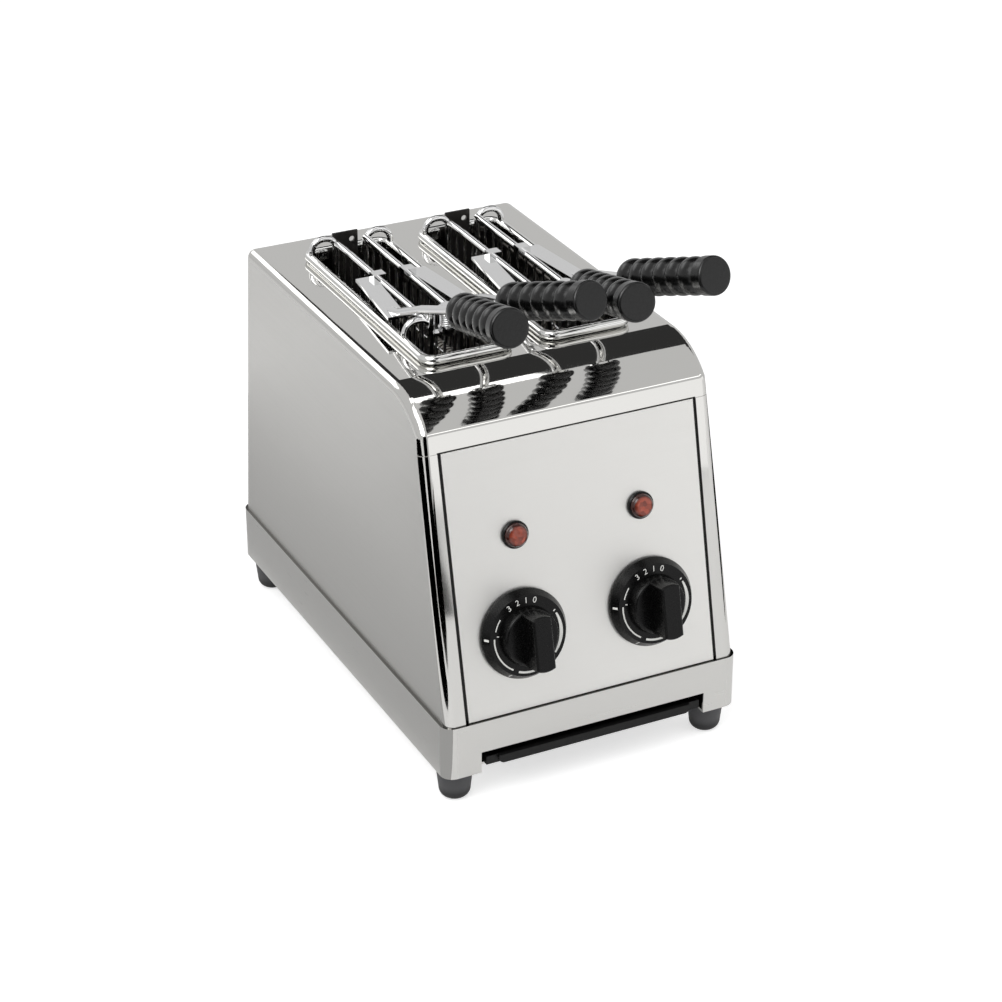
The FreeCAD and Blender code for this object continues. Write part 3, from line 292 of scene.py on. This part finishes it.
# by a part of the node's name; where two fit, the later one holds
finishes = {
    # the sheet behind the dress panel is black as painted shade, so that the gaps round the panel read as
    # shadow
    "outer_shell": shellSteel, "front_panel": panelSteel, "front_backing": blackPaintAndGapShade,
    "rear_panel": ventSteel, "cable_gland": glandNylon, "plinth": plinthSteelShadedLedge, "foot_": footRubberShadedToe,
    "crumb_tray": blackPaintAndGapShade, "bulkhead": darkSteel, "heater": heaterQuartz, "reflector": dippedSheet,
    "guard": dullWire, "slot_collar": collarSteel, "timer_": dippedSheet, "timer_shaft": dullWire,
    "knob_": knobResin, "lamp_bezel": knobResin, "lamp_lens": lampLens,
    "clamp_": platedWire, "_grip": gripNylon, "_keeper": darkSteel,
}
for name, node in nodes.items():
    node.data.materials.clear()
    node.data.materials.append([finish for part, finish in finishes.items() if part in name][-1])
print("finishes set")


# pieces that the frame has no solids for

def finishPiece(name, shape, place, material, body):
    # place takes the shape's millimetres to metres in the frame
    bmesh.ops.transform(shape, matrix=place, verts=shape.verts)
    mesh = bpy.data.meshes.new(name)
    shape.to_mesh(mesh)
    shape.free()
    mesh.materials.append(material)
    piece = bpy.data.objects.new(name, mesh)
    bpy.context.scene.collection.objects.link(piece)
    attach(piece, body)
    return piece


knobPrint = {
    "face": 8.23,  # height on the shaft, just proud of the skirt's face at 8.2
    "ink": 0.06,  # thickness
    "weld": 0.001,  # closes the seams of the font's outlines
    # a digit's angle is in degrees clockwise from the top
    "digits": {"0": 17, "1": 2, "2": -13, "3": -29}, "digitSize": 5.6, "digitRadius": 23.6,
    "arcs": [  # start and end angle, inner and outer radius
        (-51, -71, 23.3, 24.1), (-83, -148, 23.5, 24.5), (-158, -189, 23.6, 25.0),
        (63, 131, 22.4, 24.8), (56.5, 58.5, 22.8, 24.4), (-80, -78, 20.9, 22.4),
    ],
    "arcStep": 4,  # degrees
    "taper": {"from": 62, "to": 132, "middle": 23.6, "end": 0.45},  # of the arc between these angles
    "slope": ((27, 8.23), (30.2, 2.43)),  # radius and height of the skirt's slope, top and foot
    "slopeTicks": [(-85, 27.5, 29.3, 1.5), (-150, 27.5, 29.3, 0.8)],  # angle, two radii, width
}


def turnTo(angle):
    return Matrix.Rotation(math.radians(-angle), 4, "Z")


def printArc(shape, start, end, inner, outer):
    ends = [turnTo(start) @ Vector((0, radius, knobPrint["face"])) for radius in (inner, outer)]
    rim = [shape.verts.new(end) for end in ends]
    steps = max(1, round(abs(end - start) / knobPrint["arcStep"]))
    bmesh.ops.spin(shape, geom=rim + [shape.edges.new(rim)], cent=(0, 0, 0), axis=(0, 0, 1),
                   angle=math.radians(start - end), steps=steps, use_merge=False)


def taperArc(shape, taper):
    # the broad arc runs out thinner towards both ends
    for vert in shape.verts:
        angle = math.degrees(math.atan2(vert.co.x, vert.co.y))
        if taper["from"] < angle < taper["to"]:
            along = (angle - taper["from"]) / (taper["to"] - taper["from"])
            share = taper["end"] + (1 - taper["end"]) * math.sin(math.pi * along)
            radius = math.hypot(vert.co.x, vert.co.y)
            vert.co.xy *= (taper["middle"] + (radius - taper["middle"]) * share) / radius


def printTick(shape, angle, inner, outer, width):
    # a short bar laid on the skirt's slope
    top, foot = (Vector(point) for point in knobPrint["slope"])
    fall = (foot.y - top.y) / (foot.x - top.x)
    middle = (inner + outer) / 2
    lay = Matrix.Translation((0, middle, top.y + fall * (middle - top.x)))
    tilt = Matrix.Rotation(math.atan(fall), 4, "X")
    size = Matrix.Diagonal((width, (outer - inner) * math.hypot(1, fall), 1, 1))
    bmesh.ops.create_grid(shape, x_segments=1, y_segments=1, size=0.5,
                          matrix=turnTo(angle) @ lay @ tilt @ size)


def printDigit(shape, digit, angle):
    word = bpy.data.curves.new("digit", "FONT")
    word.body = digit
    word.size = knobPrint["digitSize"]
    word.align_x = "CENTER"
    word.align_y = "CENTER"
    word.extrude = knobPrint["ink"]
    holder = bpy.data.objects.new("digit", word)
    bpy.context.scene.collection.objects.link(holder)
    bpy.context.view_layer.update()
    flat = bpy.data.meshes.new_from_object(holder)
    flat.transform(turnTo(angle) @ Matrix.Translation((0, knobPrint["digitRadius"], knobPrint["face"])))
    shape.from_mesh(flat)
    bpy.data.objects.remove(holder)


def knobFace(side):
    # on the face behind the knob, x to the right, y up and z out along its shaft
    joint = next(joint for joint in frame["joints"] if joint["name"] == f"timer_knob_{side}")
    right, out = Vector((1, 0, 0)), Vector(joint["axis"])
    axes = Matrix((right, out.cross(right), out)).transposed()
    return Matrix.Translation(joint["pos_m"]) @ axes.to_4x4() @ Matrix.Scale(mm, 4)


for side in ("left", "right"):
    shape = bmesh.new()
    for arc in knobPrint["arcs"]:
        printArc(shape, *arc)
    taperArc(shape, knobPrint["taper"])
    for tick in knobPrint["slopeTicks"]:
        printTick(shape, *tick)
    shape.normal_update()
    bmesh.ops.reverse_faces(shape, faces=[face for face in shape.faces if face.normal.z < 0])
    bmesh.ops.solidify(shape, geom=shape.faces[:], thickness=-knobPrint["ink"])
    bmesh.ops.recalc_face_normals(shape, faces=shape.faces[:])
    for digit, angle in knobPrint["digits"].items():
        printDigit(shape, digit, angle)
    bmesh.ops.remove_doubles(shape, verts=shape.verts[:], dist=knobPrint["weld"])
    finishPiece(f"knob_{side}_print", shape, knobFace(side), printInk, f"knob_{side}")

collar = {"mouth": (27, 65, 127), "mouthRound": 5,  # half width, reach to the front and to the back
          "bead": 3.1, "neck": 3.8, "flange": 9, "flangeTop": 268.8, "beadSteps": 14, "cornerSteps": 8,
          "sharp": 35}  # degrees, past which an edge stays sharp


def mouthLoop(shape, centre, reach, level):
    # the slot's rounded outline, reach outside its mouth, as a loop of edges
    half, front, rear = collar["mouth"]
    known = set(shape.edges)
    corners = bmesh.ops.create_grid(shape, x_segments=1, y_segments=1, size=0.5)["verts"]
    bmesh.ops.scale(shape, vec=(2 * (half + reach), front + rear + 2 * reach, 1), verts=corners)
    bmesh.ops.translate(shape, vec=(centre, (rear - front) / 2, level), verts=corners)
    bmesh.ops.bevel(shape, geom=corners, offset=collar["mouthRound"] + reach, affect="VERTICES",
                    segments=collar["cornerSteps"], profile=0.5, material=-1)
    bmesh.ops.delete(shape, geom=shape.faces[:], context="FACES_ONLY")
    return [edge for edge in shape.edges if edge not in known]


for side in ("left", "right"):
    # a flange under the sheet, a thin neck and a round rolled rim, as one closed section round the slot
    low, high = (Vector(corner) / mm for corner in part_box(f"slot_collar_{side}"))
    heart = high.z - collar["bead"]
    meet = -math.acos((collar["neck"] - collar["bead"]) / collar["bead"])  # where the neck leaves the bead
    section = [(0, low.z)]
    for step in range(collar["beadSteps"] + 1):
        angle = math.pi + (meet - math.pi) * step / collar["beadSteps"]
        section.append((collar["bead"] * (1 + math.cos(angle)), heart + collar["bead"] * math.sin(angle)))
    section += [(collar["neck"], collar["flangeTop"]), (collar["flange"], collar["flangeTop"]),
                (collar["flange"], low.z)]
    shape = bmesh.new()
    loops = [mouthLoop(shape, (low.x + high.x) / 2, reach, level) for reach, level in section]
    for inner, outer in zip(loops, loops[1:] + loops[:1]):
        bmesh.ops.bridge_loops(shape, edges=inner + outer)
    bmesh.ops.recalc_face_normals(shape, faces=shape.faces[:])
    piece = finishPiece(f"rolled_collar_{side}", shape, Matrix.Scale(mm, 4), collarSteel, "body")
    piece.data.shade_smooth()
    piece.data.set_sharp_from_angle(angle=math.radians(collar["sharp"]))
    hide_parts(f"slot_collar_{side}")

rearScrew = {"across": {"right": -80, "left": 80}, "up": {"lower": 16, "upper": 182},
             "lean": 4, "sheet": -1.2,  # degrees that the back leans in, and its panel's place in the shell
             "radius": 3.4, "crown": 2.9, "height": 1.8, "edgeRound": 0.6, "socket": 1.5, "socketDepth": 0.9,
             "segments": 32}


def rearPlace(across, up, out):
    # on the leaning back as it is seen: x to the right, y up, z out
    low, high = (Vector(corner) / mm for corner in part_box("outer_shell"))
    lean = math.radians(rearScrew["lean"])
    axes = Matrix(((-1, 0, 0), (0, -math.sin(lean), math.cos(lean)),
                   (0, math.cos(lean), math.sin(lean)))).transposed()
    place = Vector((0, high.y, low.z)) + axes @ Vector((across, up, out))
    return Matrix.Scale(mm, 4) @ Matrix.Translation(place) @ axes.to_4x4()


def crownOf(shape):
    return max(shape.faces, key=lambda face: face.calc_center_median().z)


for side, across in rearScrew["across"].items():
    for row, up in rearScrew["up"].items():
        shape = bmesh.new()
        bmesh.ops.create_cone(shape, cap_ends=True, segments=rearScrew["segments"],
                              radius1=rearScrew["radius"], radius2=rearScrew["crown"],
                              depth=rearScrew["height"])
        bmesh.ops.bevel(shape, geom=crownOf(shape).edges[:], offset=rearScrew["edgeRound"],
                        affect="EDGES", segments=3, profile=0.5, material=-1)
        crown = crownOf(shape)
        bmesh.ops.inset_region(shape, faces=[crown],
                               thickness=rearScrew["crown"] - rearScrew["edgeRound"] - rearScrew["socket"])
        well = bmesh.ops.extrude_face_region(shape, geom=[crown])
        bmesh.ops.delete(shape, geom=[crown], context="FACES_ONLY")
        sunk = [part for part in well["geom"] if isinstance(part, bmesh.types.BMVert)]
        bmesh.ops.translate(shape, vec=(0, 0, -rearScrew["socketDepth"]), verts=sunk)
        place = rearPlace(across, up, rearScrew["sheet"] + rearScrew["height"] / 2)
        finishPiece(f"rear_screw_{side}_{row}", shape, place, ventSteel, "body")
print("pieces made")


# floor, cards, sky, lamps and camera, in metres

def emptyMaterial(name):
    made = bpy.data.materials.new(name)
    made.use_nodes = True
    tree = made.node_tree
    tree.nodes.remove(tree.nodes["Principled BSDF"])
    return made, tree, tree.nodes["Material Output"].inputs["Surface"]


def stageSheet(name, width, depth, place, material):
    shape = bmesh.new()
    bmesh.ops.create_grid(shape, x_segments=1, y_segments=1, size=0.5)
    bmesh.ops.transform(shape, matrix=place @ Matrix.Diagonal((width, depth, 1, 1)), verts=shape.verts)
    mesh = bpy.data.meshes.new(name)
    shape.to_mesh(mesh)
    shape.free()
    mesh.materials.append(material)
    made = bpy.data.objects.new(name, mesh)
    bpy.context.scene.collection.objects.link(made)
    return made


def mirroredRay(tree, path):
    # 1 for a ray that comes off metal or through glass
    return addNode(tree, "ShaderNodeMath", links={0: path.outputs["Is Glossy Ray"],
                                                  1: path.outputs["Is Transmission Ray"]},
                   operation="MAXIMUM").outputs[0]


studio = {"floorSize": 30, "floorDrop": 0.0002, "floorColor": "#E0E0E0",
          "floorGlow": 0.62, "floorGlowInMetal": 0.15,  # added to the floor's colour, keeps its soft shadow
          "sky": 1.0, "skyInMetal": 0.64, "skyLight": 0.55}
white = (1, 1, 1, 1)

# white paper, matt
floorPaper, tree, surface = emptyMaterial("whitePaper")
paper = addNode(tree, "ShaderNodeBsdfDiffuse", {"Color": linear(studio["floorColor"])})
path = addNode(tree, "ShaderNodeLightPath")
seen = addNode(tree, "ShaderNodeMath", {1: studio["floorGlow"]}, {0: path.outputs["Is Camera Ray"]},
               operation="MULTIPLY")
strength = addNode(tree, "ShaderNodeMath", {1: studio["floorGlowInMetal"]},
                   {0: mirroredRay(tree, path), 2: seen.outputs[0]}, operation="MULTIPLY_ADD")
glow = addNode(tree, "ShaderNodeEmission", {"Color": white}, {"Strength": strength.outputs[0]})
summed = addNode(tree, "ShaderNodeAddShader", links={0: paper.outputs[0], 1: glow.outputs[0]})
tree.links.new(summed.outputs[0], surface)
stageSheet("floor", studio["floorSize"], studio["floorSize"],
           Matrix.Translation((0, 0, -studio["floorDrop"])), floorPaper)

# white and black cards that only the polished steel sees, as in a photographer's tent: a flat one is
# given by its low corner, an upright one by its middle, and faces the toaster
cards = {
    "ceilingFlag": {"corner": (-0.10, 0.30, 1.90), "size": (2.86, 2.55), "level": 0.035},
    "ceilingStrip": {"corner": (-0.6, 0.19, 1.88), "size": (1.35, 0.24), "level": 2.2},
    "overheadCard": {"corner": (-1.75, -0.9, 1.95), "size": (1.45, 1.0), "level": 2.4},
    "frontCard": {"middle": (1.5, -1.75, 0.30), "size": (3.1, 0.8), "level": 1.1},
    "frontStrip": {"middle": (0.95, -1.35, 1.25), "size": (1.8, 0.25), "level": 1.8},
    "backCard": {"middle": (-0.95, 2.4, 1.62), "size": (1.6, 1.1), "level": 2.0},
    "frontFlag": {"middle": (-0.26, -1.05, 0.07), "size": (1.2, 0.15), "level": 0.0},
    "cornerFlag": {"middle": (-0.5, -1.02, 0.35), "size": (0.7, 0.7), "level": 0.0},
    "leftFlag": {"corner": (-1.40, -0.75, 0.004), "size": (1.04, 1.05), "level": 0.0},
    "leftShade": {"corner": (-0.36, -0.30, 0.003), "size": (0.105, 0.92), "level": 0.85},
    "nearShade": {"corner": (-0.255, -0.30, 0.003), "size": (0.133, 0.80), "level": 0.42},
    "rightFlag": {"corner": (0.40, -0.30, 0.004), "size": (0.4, 0.42), "level": 0.0},
}
aim = Vector((0, 0, 0.15))  # the toaster's middle
for name, card in cards.items():
    material, tree, surface = emptyMaterial(name)
    glow = addNode(tree, "ShaderNodeEmission", {"Color": white, "Strength": card["level"]})
    tree.links.new(glow.outputs[0], surface)
    width, depth = card["size"]
    if "corner" in card:
        place = Matrix.Translation(Vector(card["corner"]) + Vector((width / 2, depth / 2, 0)))
    else:
        middle = Vector(card["middle"])
        away = middle - Vector((aim.x, aim.y, middle.z))
        place = Matrix.Translation(middle) @ away.to_track_quat("Z", "Y").to_matrix().to_4x4()
    made = stageSheet(name, width, depth, place, material)
    made.visible_camera = False
    made.visible_diffuse = False
    made.visible_shadow = False
    made.visible_transmission = False
    made.visible_volume_scatter = False

# the sky is white behind the toaster, and gives its metal and its plain light at lower levels
world = bpy.data.worlds.new("studio")
bpy.context.scene.world = world
world.use_nodes = True
tree = world.node_tree
path = addNode(tree, "ShaderNodeLightPath")
unseen = addNode(tree, "ShaderNodeMix", {"A": studio["skyLight"], "B": studio["skyInMetal"]},
                 {"Factor": mirroredRay(tree, path)})
strength = addNode(tree, "ShaderNodeMix", {"B": studio["sky"]},
                   {"Factor": path.outputs["Is Camera Ray"], "A": unseen.outputs["Result"]})
sky = tree.nodes["Background"]
sky.inputs["Color"].default_value = white
tree.links.new(strength.outputs["Result"], sky.inputs["Strength"])

lamps = {  # power in watts
    "keyLamp": {"place": (-1.2, -1.0, 1.8), "power": 22, "size": 1.2, "inMetal": True},
    "fillLamp": {"place": (1.6, -1.4, 1.0), "power": 9, "size": 1.4, "inMetal": False},
}
for name, lamp in lamps.items():
    data = bpy.data.lights.new(name, "AREA")
    data.energy = lamp["power"]
    data.size = lamp["size"]
    light = bpy.data.objects.new(name, data)
    light.location = lamp["place"]
    light.rotation_euler = (light.location - aim).to_track_quat("Z", "Y").to_euler()
    light.visible_glossy = lamp["inMetal"]
    bpy.context.scene.collection.objects.link(light)

# the camera stands where the body's corners in the photograph put it: angles in degrees, then millimetres
# from a point just above the floor under the front, to the picture's right, up it and back from it
view = {"azimuth": -26.382, "elevation": 27.627, "target": (0, -163, 3),
        "right": -60.556, "up": 175.756, "distance": 1868.66,
        "focalPixels": 2819.1, "framePixels": 1002, "sensor": 36, "farthest": 100}
azimuth = math.radians(view["azimuth"])
elevation = math.radians(view["elevation"])
back = Vector((math.sin(azimuth) * math.cos(elevation), -math.cos(azimuth) * math.cos(elevation),
               math.sin(elevation)))
right = Vector((math.cos(azimuth), math.sin(azimuth), 0))
up = back.cross(right)
spot = Vector(view["target"]) + right * view["right"] + up * view["up"] + back * view["distance"]
cameraData = bpy.data.cameras.new("camera")
cameraData.sensor_width = view["sensor"]
cameraData.lens = view["sensor"] * view["focalPixels"] / view["framePixels"]
cameraData.clip_end = view["farthest"]
camera = bpy.data.objects.new("camera", cameraData)
camera.matrix_world = Matrix.Translation(spot * mm) @ Matrix((right, up, back)).transposed().to_4x4()
bpy.context.scene.collection.objects.link(camera)
bpy.context.scene.camera = camera
bpy.context.scene.view_settings.view_transform = "Standard"
print("studio set")
